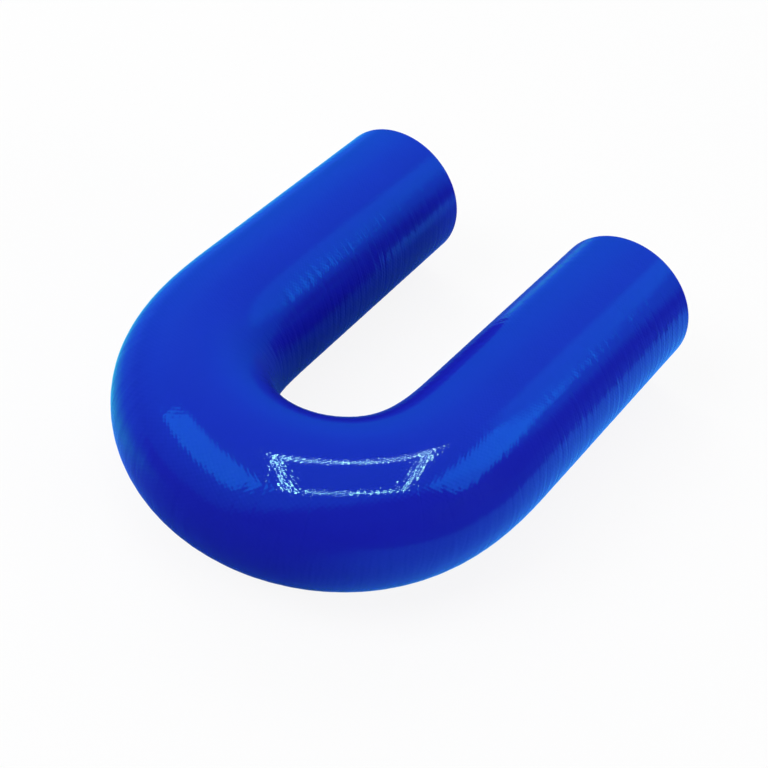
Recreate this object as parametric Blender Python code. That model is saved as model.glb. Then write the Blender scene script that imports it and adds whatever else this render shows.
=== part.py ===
"""Silicone 180 degree hose bend, moulded in one piece and lying flat.

Lengths are metres and +Z is up. The bend is at the -Y end and both mouths open at the +Y end. The
origin is the middle of the underside, on the surface that the hose lies on.
"""

import math

import bmesh
import bpy
from mathutils import Matrix, Vector

# Driving dimensions
BORE = 0.051  # inside diameter, to push over a 51 mm (2 in) pipe
WALL = 0.004  # fabric plies bonded in silicone
BEND_RADIUS = 0.050  # of the centreline, round the middle of the bend
EASE = 0.050  # centreline length over which the bend straightens into each leg
LEG = 0.102  # straight length of each leg (4 in)
SPLAY = math.radians(1.2)  # lean of each leg outwards from parallel
EDGE_ROUND = 0.0006  # rounding of the cut edges at the mouths

# Facets
SIDES = 48  # round the hose, a multiple of four so that the box meets it at four points
BEND_STEPS = 32  # along the curved stretch
EDGE_STEPS = 2  # round each cut edge
WALK_STEPS = 240  # of the sum that follows the centreline
WELD = 0.00002  # joins the last ring to the first

# Silicone
SILICONE_COLOUR = (0.011, 0.036, 0.42, 1.0)
SILICONE_ROUGHNESS = 0.22
SILICONE_IOR = 1.43

# Sizes that follow
OUTER_RADIUS = BORE / 2 + WALL
TURN = math.pi / 2 - SPLAY  # heading gained between the middle of the bend and a leg
ROUND_HALF = BEND_RADIUS * TURN - EASE / 2  # length at full curvature, each side of the middle
CURVED_HALF = ROUND_HALF + EASE
HALF_LENGTH = CURVED_HALF + LEG


def heading(station):
    """Angle of the centreline from +X, at a length along it from the middle of the bend."""
    length = abs(station)
    if length < ROUND_HALF:
        angle = length / BEND_RADIUS
    elif length < CURVED_HALF:
        eased = length - ROUND_HALF
        angle = (ROUND_HALF + eased - eased * eased / (2 * EASE)) / BEND_RADIUS
    else:
        angle = TURN
    return math.copysign(angle, station)


def centre_point(station):
    """Point of the centreline, found by walking to it from the middle of the bend."""
    step = abs(station) / WALK_STEPS
    across = 0.0
    forward = -BEND_RADIUS
    for i in range(WALK_STEPS):
        angle = heading((i + 0.5) * step)
        across += step * math.cos(angle)
        forward += step * math.sin(angle)
    return Vector((math.copysign(across, station), forward, 0.0))


def ring_frame(station, radius):
    """Matrix that stands a flat circle of radius 1 square to the centreline, at a ring's own radius."""
    angle = heading(station)
    along = Vector((math.cos(angle), math.sin(angle), 0.0))
    up = Vector((0.0, 0.0, 1.0))
    turned = Matrix((up.cross(along), up, along)).transposed().to_4x4()
    return Matrix.Translation(centre_point(station)) @ turned @ Matrix.Scale(radius, 4)


def cut_edge(end, radius, into_wall):
    """Stations and radii round one cut edge, from the skin over to the cut face."""
    places = []
    for i in range(EDGE_STEPS + 1):
        angle = math.pi / 2 * i / EDGE_STEPS
        inset = EDGE_ROUND * (1 - math.sin(angle))
        drop = EDGE_ROUND * (1 - math.cos(angle))
        places.append((end * (HALF_LENGTH - inset), radius + into_wall * drop))
    return places


def wall_section():
    """The wall's lengthwise section, as stations and radii in order round its closed outline."""
    curve = [CURVED_HALF * (2 * i / BEND_STEPS - 1) for i in range(BEND_STEPS + 1)]
    outside = [(station, OUTER_RADIUS) for station in curve]
    inside = [(station, BORE / 2) for station in reversed(curve)]
    right_lip = cut_edge(1, OUTER_RADIUS, -1) + cut_edge(1, BORE / 2, 1)[::-1]
    left_lip = cut_edge(-1, BORE / 2, 1) + cut_edge(-1, OUTER_RADIUS, -1)[::-1]
    return outside + right_lip + inside + left_lip


def hose_mesh():
    """Carry a ring round the wall's section, from the outside through the bore and back to itself."""
    bm = bmesh.new()
    section = wall_section()
    placed = ring_frame(*section[0])
    bmesh.ops.create_circle(bm, segments=SIDES, radius=1.0, matrix=placed)
    ring = list(bm.edges)
    for station, radius in section[1:] + section[:1]:
        drawn = bmesh.ops.extrude_edge_only(bm, edges=ring)["geom"]
        verts = [part for part in drawn if isinstance(part, bmesh.types.BMVert)]
        ring = [part for part in drawn if isinstance(part, bmesh.types.BMEdge) and part.is_boundary]
        target = ring_frame(station, radius)
        bmesh.ops.transform(bm, matrix=target @ placed.inverted(), verts=verts)
        placed = target
    bmesh.ops.remove_doubles(bm, verts=bm.verts, dist=WELD)
    bmesh.ops.recalc_face_normals(bm, faces=bm.faces)
    mesh = bpy.data.meshes.new("elbow_hose")
    bm.to_mesh(mesh)
    bm.free()
    mesh.shade_smooth()
    mesh.set_sharp_from_angle(angle=math.radians(35))
    return mesh


def silicone():
    """Glossy blue silicone."""
    material = bpy.data.materials.new("blue_silicone")
    material.use_nodes = True
    shader = material.node_tree.nodes["Principled BSDF"]
    shader.inputs["Base Color"].default_value = SILICONE_COLOUR
    shader.inputs["Roughness"].default_value = SILICONE_ROUGHNESS
    shader.inputs["Metallic"].default_value = 0.0
    shader.inputs["IOR"].default_value = SILICONE_IOR
    return material


def build():
    """Clear the scene, then make the hose and lay it flat about its origin."""
    for old in list(bpy.data.objects):
        bpy.data.objects.remove(old, do_unlink=True)
    mesh = hose_mesh()
    mesh.materials.append(silicone())
    hose = bpy.data.objects.new("elbow_hose", mesh)
    bpy.context.scene.collection.objects.link(hose)
    reach = [vert.co.y for vert in mesh.vertices]
    hose.location = (0.0, -(min(reach) + max(reach)) / 2, OUTER_RADIUS)


build()
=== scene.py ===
"""Glossy blue silicone hose, bent through 180 degrees and lying flat on a pale floor.

Lengths are metres and +Z is up. The bend is at the -Y end and both mouths open towards +Y. A
station is a length along the hose's centreline, counted from the middle of the bend, with the
right leg (+X) at the positive end.
"""

import logging
import math
from dataclasses import dataclass, field
from enum import IntEnum

import bmesh
import bpy
from mathutils import Matrix, Vector, noise


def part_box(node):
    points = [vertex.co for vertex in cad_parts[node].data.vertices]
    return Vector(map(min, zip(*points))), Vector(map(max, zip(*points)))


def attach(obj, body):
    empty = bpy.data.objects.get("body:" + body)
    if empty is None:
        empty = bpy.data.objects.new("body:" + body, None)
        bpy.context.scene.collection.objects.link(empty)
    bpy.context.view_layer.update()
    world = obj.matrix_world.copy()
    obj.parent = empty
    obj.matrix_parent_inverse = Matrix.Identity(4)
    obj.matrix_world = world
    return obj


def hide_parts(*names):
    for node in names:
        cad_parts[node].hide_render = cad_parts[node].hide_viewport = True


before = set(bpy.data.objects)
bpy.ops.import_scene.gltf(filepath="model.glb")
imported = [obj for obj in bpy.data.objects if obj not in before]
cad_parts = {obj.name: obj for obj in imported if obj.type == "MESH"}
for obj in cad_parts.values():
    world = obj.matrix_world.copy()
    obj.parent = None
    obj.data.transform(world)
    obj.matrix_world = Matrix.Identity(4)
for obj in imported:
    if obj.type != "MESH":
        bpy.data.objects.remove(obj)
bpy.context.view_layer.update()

LOG = logging.getLogger("elbow_hose")
MM = 0.001
NODE = "elbow_hose"


def linear(colour: str, alpha: float = 1.0) -> tuple[float, float, float, float]:
    """Turn an sRGB hex colour to the linear one that shaders take.

    Args:
        colour: Six hex digits after a hash sign.
        alpha: Fourth value of the colour.

    Returns:
        The linear red, green and blue, and alpha.
    """
    parts = [int(colour[i:i + 2], 16) / 255 for i in (1, 3, 5)]
    turned = [c / 12.92 if c <= 0.04045 else ((c + 0.055) / 1.055) ** 2.4 for c in parts]
    return (turned[0], turned[1], turned[2], alpha)


def add_node(tree: bpy.types.NodeTree, kind: str, inputs: dict | None = None, **settings) -> bpy.types.Node:
    """Add a node with its settings, its values and its links.

    Args:
        tree: Node tree that the node goes into.
        kind: Blender's name of the node's type.
        inputs: For each input's name or number, the output that feeds it or its plain value.
        settings: The node's own properties.

    Returns:
        The new node.
    """
    node = tree.nodes.new(kind)
    for name, value in settings.items():
        setattr(node, name, value)
    for name, source in (inputs or {}).items():
        if isinstance(source, bpy.types.NodeSocket):
            tree.links.new(source, node.inputs[name])
        else:
            node.inputs[name].default_value = source
    return node


def new_material(name: str) -> tuple[bpy.types.Material, bpy.types.NodeTree, bpy.types.Node]:
    """Make a material that holds only a Principled shader.

    Args:
        name: Name of the material.

    Returns:
        The material, its node tree and its Principled shader.
    """
    material = bpy.data.materials.new(name)
    material.use_nodes = True
    return material, material.node_tree, material.node_tree.nodes["Principled BSDF"]


class Surface(IntEnum):
    """The three surfaces of the hose, numbered as its material slots are."""

    SKIN = 0
    CUT = 1
    BORE = 2


@dataclass(frozen=True)
class ClothCuredSkin:
    """Glossy silicone rubber, cured under tightly wrapped cloth.

    The rubber is clear enough at its surface to mirror lamps sharply, and the cloth leaves a fine
    lattice in it, so the eye sees a wet-looking blue whose highlights break into rows of dots.
    """

    colour: str = "#1C23BE"
    deep_colour: str = "#1A1FB7"
    specular_tint: str = "#79EDFF"
    roughness: float = 0.06
    ior: float = 1.43
    # The threads of such cloth lie under 0.5 mm apart: they are drawn coarser, so that they show
    thread_along: float = 0.8 * MM
    thread_round: float = 0.92 * MM
    imprint_depth: float = 0.0095 * MM
    unevenness: float = 0.4
    crease_pitch: float = 1.4 * MM
    crease_length: float = 12 * MM
    crease_depth: float = 0.18 * MM
    nip_pitch: float = 4.4 * MM
    nip_share: float = 0.07
    nip_depth: float = 0.035 * MM
    # Heights, in outside radii, where creases and nips are shallowest and deepest, and the share
    # of their depth that is left at the first
    crease_heights: tuple[float, float] = (1.75, 0.9)
    crease_top: float = 0.09
    nip_heights: tuple[float, float] = (1.86, 1.76)
    nip_top: float = 0.2
    patch_size: float = 22 * MM

    def material(self, round_length: float) -> bpy.types.Material:
        """Make the skin's material.

        Args:
            round_length: Length once round the outside of the hose.

        Returns:
            The material, which reads the hose's own UV map in metres.
        """
        material, tree, shader = new_material("cloth_cured_silicone")
        coords = add_node(tree, "ShaderNodeTexCoord")
        patches = add_node(tree, "ShaderNodeTexNoise", {
            "Vector": coords.outputs["Object"], "Scale": 1 / self.patch_size, "Detail": 3.0})
        colour = add_node(tree, "ShaderNodeMix", {
            "Factor": patches.outputs["Fac"], "A": linear(self.colour), "B": linear(self.deep_colour)},
            data_type="RGBA")
        tree.links.new(colour.outputs["Result"], shader.inputs["Base Color"])
        shader.inputs["Roughness"].default_value = self.roughness
        shader.inputs["IOR"].default_value = self.ior
        shader.inputs["Specular Tint"].default_value = linear(self.specular_tint)
        tree.links.new(self.imprint(tree, round_length), shader.inputs["Normal"])
        return material

    def imprint(self, tree: bpy.types.NodeTree, round_length: float) -> bpy.types.NodeSocket:
        """Press the cloth's lattice into the surface.

        Args:
            tree: Node tree of the skin's material.
            round_length: Length once round the outside of the hose.

        Returns:
            The output that holds the pressed normal.
        """
        # Half a wave is one thread, and a plain weave needs an even number of them round the hose
        threads = 2 * round(round_length / self.thread_round / 2)
        uv = add_node(tree, "ShaderNodeUVMap", uv_map="hose")
        split = add_node(tree, "ShaderNodeSeparateXYZ", {0: uv.outputs["UV"]})
        waves, cells = [], []
        for axis, threads_per_metre in (("X", 1 / self.thread_along), ("Y", threads / round_length)):
            turns = add_node(tree, "ShaderNodeMath", {
                0: split.outputs[axis], 1: threads_per_metre}, operation="MULTIPLY")
            angle = add_node(tree, "ShaderNodeMath", {0: turns.outputs[0], 1: math.pi}, operation="MULTIPLY")
            waves.append(add_node(tree, "ShaderNodeMath", {0: angle.outputs[0]}, operation="SINE"))
            cells.append(add_node(tree, "ShaderNodeMath", {0: turns.outputs[0]}, operation="FLOOR"))
        weave = add_node(tree, "ShaderNodeMath", {
            0: waves[0].outputs[0], 1: waves[1].outputs[0]}, operation="MULTIPLY")
        crossing = add_node(tree, "ShaderNodeCombineXYZ", {0: cells[0].outputs[0], 1: cells[1].outputs[0]})
        tightness = add_node(tree, "ShaderNodeTexWhiteNoise", {
            "Vector": crossing.outputs[0]}, noise_dimensions="2D")
        depth = add_node(tree, "ShaderNodeMapRange", {
            "Value": tightness.outputs["Value"],
            "To Min": 1 - self.unevenness, "To Max": 1 + self.unevenness})
        pressed = add_node(tree, "ShaderNodeMath", {
            0: weave.outputs[0], 1: depth.outputs[0]}, operation="MULTIPLY")
        bump = add_node(tree, "ShaderNodeBump", {
            "Strength": 1.0, "Distance": self.imprint_depth, "Height": pressed.outputs[0],
            "Normal": self.creases(tree, split.outputs["X"], round_length / math.tau)})
        return bump.outputs["Normal"]

    def creases(self, tree: bpy.types.NodeTree, station: bpy.types.NodeSocket,
                radius: float) -> bpy.types.NodeSocket:
        """Press the fine creases and nips that the cloth's turns leave across the hose.

        Args:
            tree: Node tree of the skin's material.
            station: Output that holds the length along the hose.
            radius: Radius of the outside of the hose.

        Returns:
            The output that holds the creased normal.
        """
        coords = add_node(tree, "ShaderNodeTexCoord")
        place = add_node(tree, "ShaderNodeSeparateXYZ", {0: coords.outputs["Object"]})
        sources = ((station, self.crease_pitch), (place.outputs["X"], self.crease_length),
                   (place.outputs["Z"], self.crease_length))
        scaled = [add_node(tree, "ShaderNodeMath", {0: source, 1: 1 / size}, operation="MULTIPLY")
                  for source, size in sources]
        spread = add_node(tree, "ShaderNodeCombineXYZ", {
            i: part.outputs[0] for i, part in enumerate(scaled)})
        lines = add_node(tree, "ShaderNodeTexNoise", {
            "Vector": spread.outputs[0], "Scale": 1.0, "Detail": 1.0})
        side = add_node(tree, "ShaderNodeMapRange", {
            "Value": place.outputs["Z"], "From Min": self.crease_heights[0] * radius,
            "From Max": self.crease_heights[1] * radius, "To Min": self.crease_top, "To Max": 1.0})
        # Where a broader noise passes its middle value, the cloth's turns nipped a thin groove
        broad = add_node(tree, "ShaderNodeTexNoise", {
            "Vector": spread.outputs[0], "Scale": self.crease_pitch / self.nip_pitch, "Detail": 0.0})
        off_middle = add_node(tree, "ShaderNodeMath", {
            0: broad.outputs["Fac"], 1: 0.5}, operation="SUBTRACT")
        away = add_node(tree, "ShaderNodeMath", {0: off_middle.outputs[0]}, operation="ABSOLUTE")
        nips = add_node(tree, "ShaderNodeMapRange", {
            "Value": away.outputs[0], "From Max": self.nip_share,
            "To Min": -self.nip_depth / self.crease_depth, "To Max": 0.0})
        shoulder = add_node(tree, "ShaderNodeMapRange", {
            "Value": place.outputs["Z"], "From Min": self.nip_heights[0] * radius,
            "From Max": self.nip_heights[1] * radius, "To Min": self.nip_top, "To Max": 1.0})
        nipped = add_node(tree, "ShaderNodeMath", {
            0: nips.outputs[0], 1: shoulder.outputs[0]}, operation="MULTIPLY")
        height = add_node(tree, "ShaderNodeMath", {
            0: lines.outputs["Fac"], 1: side.outputs[0], 2: nipped.outputs[0]}, operation="MULTIPLY_ADD")
        bump = add_node(tree, "ShaderNodeBump", {
            "Strength": 1.0, "Distance": self.crease_depth, "Height": height.outputs[0]})
        return bump.outputs["Normal"]


@dataclass(frozen=True)
class CutSilicone:
    """Silicone rubber cut square with a blade: the same blue, but matte and faintly scored."""

    colour: str = "#1A2CB4"
    roughness: float = 0.5
    ior: float = 1.43
    score_spacing: float = 1.2 * MM
    score_depth: float = 0.03 * MM

    def material(self) -> bpy.types.Material:
        """Make the material of the cut faces."""
        material, tree, shader = new_material("cut_silicone")
        coords = add_node(tree, "ShaderNodeTexCoord")
        scores = add_node(tree, "ShaderNodeTexNoise", {
            "Vector": coords.outputs["Object"], "Scale": 1 / self.score_spacing, "Detail": 2.0})
        bump = add_node(tree, "ShaderNodeBump", {
            "Distance": self.score_depth, "Height": scores.outputs["Fac"]})
        shader.inputs["Base Color"].default_value = linear(self.colour)
        shader.inputs["Roughness"].default_value = self.roughness
        shader.inputs["IOR"].default_value = self.ior
        tree.links.new(bump.outputs["Normal"], shader.inputs["Normal"])
        return material


@dataclass(frozen=True)
class MandrelSmoothBore:
    """Silicone rubber laid on a polished steel mandrel: an even satin, with no cloth in it."""

    colour: str = "#1826B4"
    roughness: float = 0.34
    ior: float = 1.43
    ripple_size: float = 9 * MM
    ripple_depth: float = 0.05 * MM

    def material(self) -> bpy.types.Material:
        """Make the material of the bore."""
        material, tree, shader = new_material("mandrel_smooth_silicone")
        coords = add_node(tree, "ShaderNodeTexCoord")
        ripples = add_node(tree, "ShaderNodeTexNoise", {
            "Vector": coords.outputs["Object"], "Scale": 1 / self.ripple_size, "Detail": 2.0})
        bump = add_node(tree, "ShaderNodeBump", {
            "Distance": self.ripple_depth, "Height": ripples.outputs["Fac"]})
        shader.inputs["Base Color"].default_value = linear(self.colour)
        shader.inputs["Roughness"].default_value = self.roughness
        shader.inputs["IOR"].default_value = self.ior
        tree.links.new(bump.outputs["Normal"], shader.inputs["Normal"])
        return material


@dataclass(frozen=True)
class Ring:
    """One ring of the wall, and the surface that the skin before it belongs to."""

    station: float
    radius: float
    surface: Surface


@dataclass
class ElbowHose:
    """The whole hose: one wall of silicone, open at both mouths."""

    bore: float = 51 * MM
    wall: float = 4 * MM
    bend_radius: float = 50 * MM
    ease: float = 50 * MM
    leg: float = 102 * MM
    splay: float = math.radians(1.2)
    edge_round: float = 0.6 * MM
    sides: int = 96
    skin_steps: int = 100
    skin_cuts: int = 7
    bore_steps: int = 60
    edge_steps: int = 4
    walk_steps: int = 1500
    wrap_pitch: float = 1.8 * MM
    wrap_depth: float = 0.03 * MM
    fold_pitch: float = 4.6 * MM
    fold_depth: float = 0.06 * MM
    fold_shift: float = 2 * MM
    sway_size: float = 14 * MM
    sway_depth: float = 0.04 * MM
    wear_along: float = 6 * MM
    wear_round: float = 16 * MM
    wear_middle: float = 0.8
    wear_spread: float = 0.9
    top_bite: float = 0.16
    skin: ClothCuredSkin = field(default_factory=ClothCuredSkin)
    cut: CutSilicone = field(default_factory=CutSilicone)
    inside: MandrelSmoothBore = field(default_factory=MandrelSmoothBore)

    def __post_init__(self) -> None:
        """Work out the sizes that follow, and walk the centreline once."""
        low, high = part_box(NODE)
        self.radius = self.bore / 2 + self.wall
        self.turn = math.pi / 2 - self.splay
        self.round_half = self.bend_radius * self.turn - self.ease / 2
        self.curved_half = self.round_half + self.ease
        self.half_length = self.curved_half + self.leg
        self.centre = Vector((0.0, low.y + self.bend_radius + self.radius, (low.z + high.z) / 2))
        step = self.half_length / self.walk_steps
        self.path = [Vector((0.0, -self.bend_radius, 0.0))]
        for i in range(self.walk_steps):
            angle = self.heading((i + 0.5) * step)
            self.path.append(self.path[-1] + step * Vector((math.cos(angle), math.sin(angle), 0.0)))

    def heading(self, station: float) -> float:
        """Angle of the centreline from +X at a station, in radians."""
        length = abs(station)
        if length < self.round_half:
            angle = length / self.bend_radius
        elif length < self.curved_half:
            eased = length - self.round_half
            angle = (self.round_half + eased - eased * eased / (2 * self.ease)) / self.bend_radius
        else:
            angle = self.turn
        return math.copysign(angle, station)

    def centre_point(self, station: float) -> Vector:
        """Point of the centreline at a station, in the row frame."""
        place = min(abs(station) / self.half_length, 1.0) * self.walk_steps
        i = min(int(place), self.walk_steps - 1)
        point = self.path[i].lerp(self.path[i + 1], place - i)
        return self.centre + Vector((math.copysign(point.x, station), point.y, point.z))

    def ring_frame(self, ring: Ring) -> Matrix:
        """Matrix that stands a flat circle of radius 1 in a ring's place, square to the centreline."""
        angle = self.heading(ring.station)
        along = Vector((math.cos(angle), math.sin(angle), 0.0))
        up = Vector((0.0, 0.0, 1.0))
        turned = Matrix((up.cross(along), up, along)).transposed().to_4x4()
        return Matrix.Translation(self.centre_point(ring.station)) @ turned @ Matrix.Scale(ring.radius, 4)

    def cut_edge(self, end: int, radius: float, into_wall: int) -> list[Ring]:
        """Round one cut edge of a mouth.

        Args:
            end: 1 at the right mouth, -1 at the left.
            radius: Radius of the surface that the edge belongs to.
            into_wall: Direction from that surface into the wall, 1 outwards or -1 inwards.

        Returns:
            The rings from the surface over to the cut face.
        """
        rings = []
        for i in range(self.edge_steps + 1):
            angle = math.pi / 2 * i / self.edge_steps
            inset = self.edge_round * (1 - math.sin(angle))
            drop = self.edge_round * (1 - math.cos(angle))
            rings.append(Ring(end * (self.half_length - inset), radius + into_wall * drop, Surface.CUT))
        return rings

    def wall_section(self) -> list[Ring]:
        """The rings round the wall's closed lengthwise section, from the outside through the bore."""
        reach = self.half_length - self.edge_round
        outside = [Ring(reach * (2 * i / self.skin_steps - 1), self.radius, Surface.SKIN)
                   for i in range(1, self.skin_steps)]
        inside = [Ring(reach * (1 - 2 * i / self.bore_steps), self.bore / 2, Surface.BORE)
                  for i in range(1, self.bore_steps)]
        right = self.cut_edge(1, self.radius, -1) + self.cut_edge(1, self.bore / 2, 1)[::-1]
        left = self.cut_edge(-1, self.bore / 2, 1) + self.cut_edge(-1, self.radius, -1)[::-1]
        right[0] = Ring(right[0].station, right[0].radius, Surface.SKIN)
        left[0] = Ring(left[0].station, left[0].radius, Surface.BORE)
        return outside + right + inside + left

    def relief(self, station: float, angle: float) -> float:
        """Height of the skin over the true round, where the cloth's turns pressed it.

        Args:
            station: Place along the hose.
            angle: Place round the hose, in radians.

        Returns:
            The height in metres, at most zero so that the hose keeps its size.
        """
        side = self.radius * Vector((math.cos(angle), math.sin(angle)))
        worn = noise.noise(Vector((
            station / self.wear_along, side.x / self.wear_round, side.y / self.wear_round)))
        sway = noise.noise(Vector((station, side.x, side.y)) / self.sway_size)
        turn = 0.5 + 0.5 * math.cos(math.tau * station / self.wrap_pitch)
        fold = 0.5 + 0.5 * math.cos(math.tau * (station + self.fold_shift * sway) / self.fold_pitch)
        # The cloth bit deeper at the sides of the hose than along its top and its underside
        bite = self.top_bite + (1 - self.top_bite) * math.cos(angle) ** 2
        bite *= max(0.0, self.wear_middle + self.wear_spread * worn)
        return (-bite * (self.wrap_depth * turn + self.fold_depth * fold)
                - self.sway_depth * (0.5 + 0.5 * sway))

    def shape(self) -> bmesh.types.BMesh:
        """Carry a ring round the wall's section, from the outside through the bore and back.

        Returns:
            The closed wall, with its UV map in metres and a material number on each face.
        """
        bm = bmesh.new()
        place = {name: bm.verts.layers.float.new(name) for name in ("station", "angle")}
        section = self.wall_section()
        placed = self.ring_frame(section[0])
        verts = bmesh.ops.create_circle(bm, segments=self.sides, radius=1.0, matrix=placed)["verts"]
        self.mark(verts, place, section[0], placed)
        ring = list(bm.edges)
        for target in section[1:] + section[:1]:
            drawn = bmesh.ops.extrude_edge_only(bm, edges=ring)["geom"]
            verts = [part for part in drawn if isinstance(part, bmesh.types.BMVert)]
            ring = [part for part in drawn if isinstance(part, bmesh.types.BMEdge) and part.is_boundary]
            stood = self.ring_frame(target)
            bmesh.ops.transform(bm, matrix=stood @ placed.inverted(), verts=verts)
            placed = stood
            self.mark(verts, place, target, placed)
            for part in drawn:
                if isinstance(part, bmesh.types.BMFace):
                    part.material_index = target.surface
                    part.smooth = True
        bmesh.ops.remove_doubles(bm, verts=bm.verts, dist=0.01 * MM)
        bmesh.ops.recalc_face_normals(bm, faces=bm.faces)
        self.refine(bm, place)
        self.unwrap(bm, place)
        self.press(bm, place)
        return bm

    def refine(self, bm: bmesh.types.BMesh, place: dict) -> None:
        """Divide the skin lengthwise, and stand each new ring in its own place on the centreline."""
        station, angle = place["station"], place["angle"]
        along = [edge for edge in bm.edges
                 if abs(edge.verts[0][station] - edge.verts[1][station]) > self.edge_round
                 and all(face.material_index == Surface.SKIN for face in edge.link_faces)]
        drawn = bmesh.ops.subdivide_edges(bm, edges=along, cuts=self.skin_cuts, use_grid_fill=True)
        frames = {}
        for vert in {part for part in drawn["geom_inner"] if isinstance(part, bmesh.types.BMVert)}:
            key = round(vert[station] / (0.001 * MM))
            if key not in frames:
                frames[key] = self.ring_frame(Ring(vert[station], self.radius, Surface.SKIN))
            vert.co = frames[key] @ Vector((math.cos(vert[angle]), math.sin(vert[angle]), 0.0))

    def mark(self, verts: list, place: dict, ring: Ring, stood: Matrix) -> None:
        """Write on a ring's points where they lie along and round the hose."""
        back = stood.inverted()
        for vert in verts:
            local = back @ vert.co
            vert[place["station"]] = ring.station
            vert[place["angle"]] = math.atan2(local.y, local.x)

    def unwrap(self, bm: bmesh.types.BMesh, place: dict) -> None:
        """Lay each face on the UV map, in metres along and metres round the outside."""
        uv = bm.loops.layers.uv.new("hose")
        for face in bm.faces:
            angles = [loop.vert[place["angle"]] for loop in face.loops]
            crosses = max(angles) - min(angles) > math.pi
            for loop, angle in zip(face.loops, angles):
                angle += math.tau if crosses and angle < 0 else 0.0
                loop[uv].uv = (loop.vert[place["station"]], angle * self.radius)

    def press(self, bm: bmesh.types.BMesh, place: dict) -> None:
        """Press the cloth's turns into the skin."""
        bm.normal_update()
        pressed = {vert for face in bm.faces if face.material_index == Surface.SKIN for vert in face.verts}
        moves = [(vert, vert.normal * self.relief(vert[place["station"]], vert[place["angle"]]))
                 for vert in pressed]
        for vert, move in moves:
            vert.co += move

    def build(self) -> bpy.types.Object:
        """Make the hose's object and dress it.

        Returns:
            The finished piece, riding on the CAD body in place of the CAD node.
        """
        bm = self.shape()
        mesh = bpy.data.meshes.new("silicone_hose")
        bm.to_mesh(mesh)
        bm.free()
        for material in (self.skin.material(math.tau * self.radius), self.cut.material(),
                         self.inside.material()):
            mesh.materials.append(material)
        piece = bpy.data.objects.new("silicone_hose", mesh)
        bpy.context.scene.collection.objects.link(piece)
        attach(piece, "root")
        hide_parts(NODE)
        LOG.info("%s: %d faces", piece.name, len(mesh.polygons))
        return piece


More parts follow.
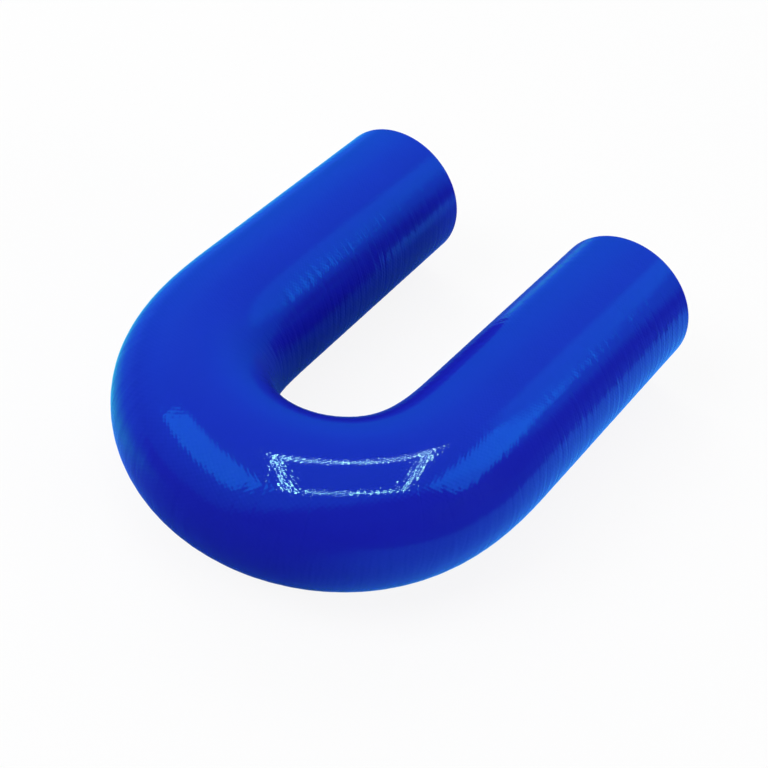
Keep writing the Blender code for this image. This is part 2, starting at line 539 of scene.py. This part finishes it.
@dataclass
class Studio:
    """Pale floor, soft lamps and the camera."""

    floor_size: float = 8.0
    floor_colour: str = "#FAFBFC"
    floor_bounce: str = "#CCD2DC"
    # Painted reflection: the paper's colour to glossy rays only, a blue that the skin mirrors in place of
    # the white paper
    painted_reflection_floor_colour: str = "#2C5CB4"
    floor_glow: float = 0.9
    # Strength of the paper's painted glow, which only the skin's gloss shows
    painted_reflection_glow: float = 1.4
    # Painted shade in the paper's painted glow that the skin mirrors: it fades out before the bend, between
    # these places of Y plus half of |X|, and is dimmed between the legs, where |X| is under the first of two
    # places
    painted_shade_front: tuple[float, float] = (-0.15, -0.04)
    painted_shade_between: tuple[float, float] = (0.03, 0.09)
    painted_shade_between_glow: float = 0.2
    # Places across the paper, in metres, and the tone of the painted glow that the skin mirrors there
    painted_reflection_tones: tuple[tuple[float, str], ...] = (
        (-0.2, "#0078D0"), (-0.14, "#249ABC"), (-0.1, "#2CB8B4"), (-0.06, "#4480EC"), (0.06, "#3A9AEC"),
        (0.19, "#3A9AEC"), (0.198, "#00355D"))
    ambient_glow: float = 0.03
    wall_colour: str = "#009CFF"
    wall_direction: tuple[float, float, float] = (-0.93, 0.37, 0.63)
    wall_edge: tuple[float, float] = (-0.27, -0.11)
    wall_glow: tuple[float, float] = (0.35, 2.05)
    wall_rise: tuple[float, float] = (0.1, 0.5)
    wall_low_share: float = 0.55
    camera_azimuth: float = math.radians(27.6042)
    camera_elevation: float = math.radians(42.1745)
    camera_roll: float = math.radians(9.1607)
    camera_place: tuple[float, float, float] = (0.192889, -0.355887, 0.389798)
    camera_lens: float = 68.233
    middle: Vector = field(default_factory=lambda: Vector((0.0, -0.02, 0.03)))
    lamp_distance: float = 2.6
    lamp_size: float = 1.6
    # Name, compass angle, height angle and share of the light of each soft lamp, in degrees
    softboxes: tuple[tuple[str, float, float, float], ...] = (
        ("front_left_softbox", -40, 45, 0.58), ("right_softbox", 100, 5, 0.75),
        ("back_left_softbox", -120, 40, 0.26), ("back_softbox", 180, 35, 0.18),
        ("overhead_softbox", 0, 88, 0.24))
    # Name, compass angle, height angle, width, height and radiance of each panel, in degrees
    panels: tuple[tuple[str, float, float, float, float, float], ...] = (
        ("front_left_panel", -40, 42, 50, 26, 4.2), ("right_panel", 121, 38, 38, 24, 4.2),
        ("back_panel", 155, 36, 16, 24, 1.3))
    panel_colour: str = "#2CA8FF"
    strip_corners: tuple[tuple[float, float, float], ...] = (
        (-0.067, -0.099, 0.43), (0.105, 0.145, 0.43), (0.320, -0.090, 0.43), (0.066, -0.372, 0.43))
    strip_width: float = 0.0055
    strip_radiance: float = 145.0
    strip_colour: str = "#FFC4AC"

    def floor(self) -> None:
        """Lay the floor, which stays white to the camera apart from a soft shadow, while the skin mirrors it
        in a painted blue with a painted glow and painted shade.
        """
        bm = bmesh.new()
        bmesh.ops.create_grid(bm, x_segments=1, y_segments=1, size=self.floor_size / 2)
        mesh = bpy.data.meshes.new("floor")
        bm.to_mesh(mesh)
        bm.free()
        material, tree, shader = new_material("floor_paper")
        rays = add_node(tree, "ShaderNodeLightPath")
        lit = add_node(tree, "ShaderNodeMix", {
            "Factor": rays.outputs["Is Camera Ray"], "A": linear(self.floor_bounce),
            "B": linear(self.floor_colour)}, data_type="RGBA")
        # Painted reflection: glossy rays see the paper in its painted blue
        paper = add_node(tree, "ShaderNodeMix", {
            "Factor": rays.outputs["Is Glossy Ray"], "A": lit.outputs["Result"],
            "B": linear(self.painted_reflection_floor_colour)}, data_type="RGBA")
        tree.links.new(paper.outputs["Result"], shader.inputs["Base Color"])
        shader.inputs["Roughness"].default_value = 1.0
        shader.inputs["Specular IOR Level"].default_value = 0.0
        # Painted reflection: glossy rays see the paper glow in painted tones, which end at its right, with
        # painted shade before the bend and between the legs
        coords = add_node(tree, "ShaderNodeTexCoord")
        place = add_node(tree, "ShaderNodeSeparateXYZ", {0: coords.outputs["Object"]})
        aside = add_node(tree, "ShaderNodeMath", {0: place.outputs["X"]}, operation="ABSOLUTE")
        round_bend = add_node(tree, "ShaderNodeMath", {
            0: aside.outputs[0], 1: 0.5, 2: place.outputs["Y"]}, operation="MULTIPLY_ADD")
        behind = add_node(tree, "ShaderNodeMapRange", {
            "Value": round_bend.outputs[0],
            "From Min": self.painted_shade_front[0], "From Max": self.painted_shade_front[1],
            "To Min": 0.0, "To Max": self.painted_reflection_glow}, interpolation_type="SMOOTHSTEP")
        outside = add_node(tree, "ShaderNodeMapRange", {
            "Value": aside.outputs[0],
            "From Min": self.painted_shade_between[0], "From Max": self.painted_shade_between[1],
            "To Min": self.painted_shade_between_glow, "To Max": 1.0})
        painted_reflection_strength = add_node(tree, "ShaderNodeMath", {
            0: behind.outputs[0], 1: outside.outputs[0]}, operation="MULTIPLY")
        left, right = self.painted_reflection_tones[0][0], self.painted_reflection_tones[-1][0]
        across = add_node(tree, "ShaderNodeMapRange", {
            "Value": place.outputs["X"], "From Min": left, "From Max": right})
        tone = add_node(tree, "ShaderNodeValToRGB", {0: across.outputs[0]})
        stops = tone.color_ramp.elements
        for x, _ in self.painted_reflection_tones[1:-1]:
            stops.new((x - left) / (right - left))
        for stop, (_, colour) in zip(stops, self.painted_reflection_tones):
            stop.color = linear(colour)
        mirrored = add_node(tree, "ShaderNodeMath", {
            # Painted reflection and painted shade: the glow is seen by glossy rays only
            0: painted_reflection_strength.outputs[0], 1: rays.outputs["Is Glossy Ray"]}, operation="MULTIPLY")
        glow = add_node(tree, "ShaderNodeEmission", {
            "Color": tone.outputs["Color"], "Strength": mirrored.outputs[0]})
        surface = add_node(tree, "ShaderNodeAddShader", {0: shader.outputs[0], 1: glow.outputs[0]})
        white = add_node(tree, "ShaderNodeEmission", {"Color": (1.0, 1.0, 1.0, 1.0), "Strength": 1.0})
        share = add_node(tree, "ShaderNodeMath", {
            0: rays.outputs["Is Camera Ray"], 1: self.floor_glow}, operation="MULTIPLY")
        seen = add_node(tree, "ShaderNodeMixShader", {
            0: share.outputs[0], 1: surface.outputs[0], 2: white.outputs[0]})
        tree.links.new(seen.outputs[0], tree.nodes["Material Output"].inputs["Surface"])
        mesh.materials.append(material)
        floor = bpy.data.objects.new("floor", mesh)
        bpy.context.scene.collection.objects.link(floor)

    def world(self) -> None:
        """White to the camera, an even soft light on surfaces, and the studio's walls in the gloss."""
        world = bpy.data.worlds.new("studio")
        world.use_nodes = True
        bpy.context.scene.world = world
        tree = world.node_tree
        rays = add_node(tree, "ShaderNodeLightPath")
        coords = add_node(tree, "ShaderNodeTexCoord")
        facing = add_node(tree, "ShaderNodeVectorMath", {
            0: coords.outputs["Generated"], 1: self.wall_direction}, operation="DOT_PRODUCT")
        walls = add_node(tree, "ShaderNodeMapRange", {
            "Value": facing.outputs["Value"],
            "From Min": self.wall_edge[0], "From Max": self.wall_edge[1],
            "To Min": self.wall_glow[0], "To Max": self.wall_glow[1]}, interpolation_type="SMOOTHSTEP")
        height = add_node(tree, "ShaderNodeSeparateXYZ", {0: coords.outputs["Generated"]})
        rise = add_node(tree, "ShaderNodeMapRange", {
            "Value": height.outputs["Z"],
            "From Min": self.wall_rise[0], "From Max": self.wall_rise[1],
            "To Min": self.wall_low_share, "To Max": 1.0})
        strength = add_node(tree, "ShaderNodeMath", {
            0: walls.outputs[0], 1: rise.outputs[0]}, operation="MULTIPLY")
        ambient = add_node(tree, "ShaderNodeBackground", {
            "Color": (1.0, 1.0, 1.0, 1.0), "Strength": self.ambient_glow})
        mirrored = add_node(tree, "ShaderNodeBackground", {
            "Color": linear(self.wall_colour), "Strength": strength.outputs[0]})
        white = add_node(tree, "ShaderNodeBackground", {"Color": (1.0, 1.0, 1.0, 1.0), "Strength": 1.0})
        lit = add_node(tree, "ShaderNodeMixShader", {
            0: rays.outputs["Is Glossy Ray"], 1: ambient.outputs[0], 2: mirrored.outputs[0]})
        seen = add_node(tree, "ShaderNodeMixShader", {
            0: rays.outputs["Is Camera Ray"], 1: lit.outputs[0], 2: white.outputs[0]})
        tree.links.new(seen.outputs[0], tree.nodes["World Output"].inputs["Surface"])

    def lamp(self, name: str, place: Vector, target: Vector, size: tuple[float, float],
             power: float, along: Vector | None = None) -> bpy.types.Object:
        """Hang one rectangular lamp.

        Args:
            name: Name of the lamp.
            place: Middle of the lamp.
            target: Point that it faces.
            size: Its width and height.
            power: Its power in watts.
            along: Direction that its width follows, or none.

        Returns:
            The lamp's object.
        """
        light = bpy.data.lights.new(name, "AREA")
        light.shape = "RECTANGLE"
        light.size, light.size_y = size
        light.energy = power
        lamp = bpy.data.objects.new(name, light)
        back = (place - target).normalized()
        side = (along or Vector((0.0, 0.0, 1.0)).cross(back)).normalized()
        side = (side - side.dot(back) * back).normalized()
        turned = Matrix((side, back.cross(side), back)).transposed().to_4x4()
        lamp.matrix_world = Matrix.Translation(place) @ turned
        bpy.context.scene.collection.objects.link(lamp)
        lamp.visible_camera = False
        return lamp

    def toward(self, azimuth: float, elevation: float, far: float) -> Vector:
        """Point at a distance from the hose, by compass angles in degrees from -Y towards +X."""
        turn, rise = math.radians(azimuth), math.radians(elevation)
        return self.middle + far * Vector((
            math.sin(turn) * math.cos(rise), -math.cos(turn) * math.cos(rise), math.sin(rise)))

    def lamps(self) -> None:
        """Hang the soft lamps, the panels and the square of thin strips that the skin mirrors."""
        for name, azimuth, elevation, share in self.softboxes:
            lamp = self.lamp(name, self.toward(azimuth, elevation, self.lamp_distance), self.middle,
                             (self.lamp_size, self.lamp_size),
                             share * math.pi ** 2 * self.lamp_distance ** 2)
            lamp.visible_glossy = False
        for name, azimuth, elevation, wide, high, radiance in self.panels:
            far = self.lamp_distance
            size = (2 * far * math.tan(math.radians(wide / 2)), 2 * far * math.tan(math.radians(high / 2)))
            panel = self.lamp(name, self.toward(azimuth, elevation, far), self.middle, size,
                              radiance * math.pi * size[0] * size[1])
            panel.data.color = linear(self.panel_colour)[:3]
            panel.visible_diffuse = False
        corners = [Vector(corner) for corner in self.strip_corners]
        for i, (start, end) in enumerate(zip(corners, corners[1:] + corners[:1])):
            length = (end - start).length
            middle = (start + end) / 2
            strip = self.lamp(f"strip_{i + 1}", middle, middle - Vector((0, 0, 1)),
                              (length, self.strip_width),
                              self.strip_radiance * math.pi * length * self.strip_width, end - start)
            strip.data.color = linear(self.strip_colour)[:3]
            strip.visible_diffuse = False

    def camera(self) -> None:
        """Stand the camera at the photograph's place."""
        az, el, roll = self.camera_azimuth, self.camera_elevation, self.camera_roll
        back = Vector((math.sin(az) * math.cos(el), -math.cos(az) * math.cos(el), math.sin(el)))
        right = Vector((math.cos(az), math.sin(az), 0.0))
        up = back.cross(right)
        side = math.cos(roll) * right + math.sin(roll) * up
        top = -math.sin(roll) * right + math.cos(roll) * up
        data = bpy.data.cameras.new("camera")
        data.lens = self.camera_lens
        data.sensor_width = 36.0
        camera = bpy.data.objects.new("camera", data)
        camera.matrix_world = (Matrix.Translation(self.camera_place)
                               @ Matrix((side, top, back)).transposed().to_4x4())
        bpy.context.scene.collection.objects.link(camera)
        bpy.context.scene.camera = camera

    def build(self) -> None:
        """Set up the whole studio."""
        self.floor()
        self.world()
        self.lamps()
        self.camera()
        bpy.context.scene.view_settings.view_transform = "Standard"
        LOG.info("studio: floor, lamps and camera are in place")


def main() -> None:
    """Build the hose and the studio."""
    logging.basicConfig(level=logging.INFO, format="%(name)s: %(message)s")
    ElbowHose().build()
    Studio().build()
    bpy.context.view_layer.update()


if __name__ == "__main__":
    main()
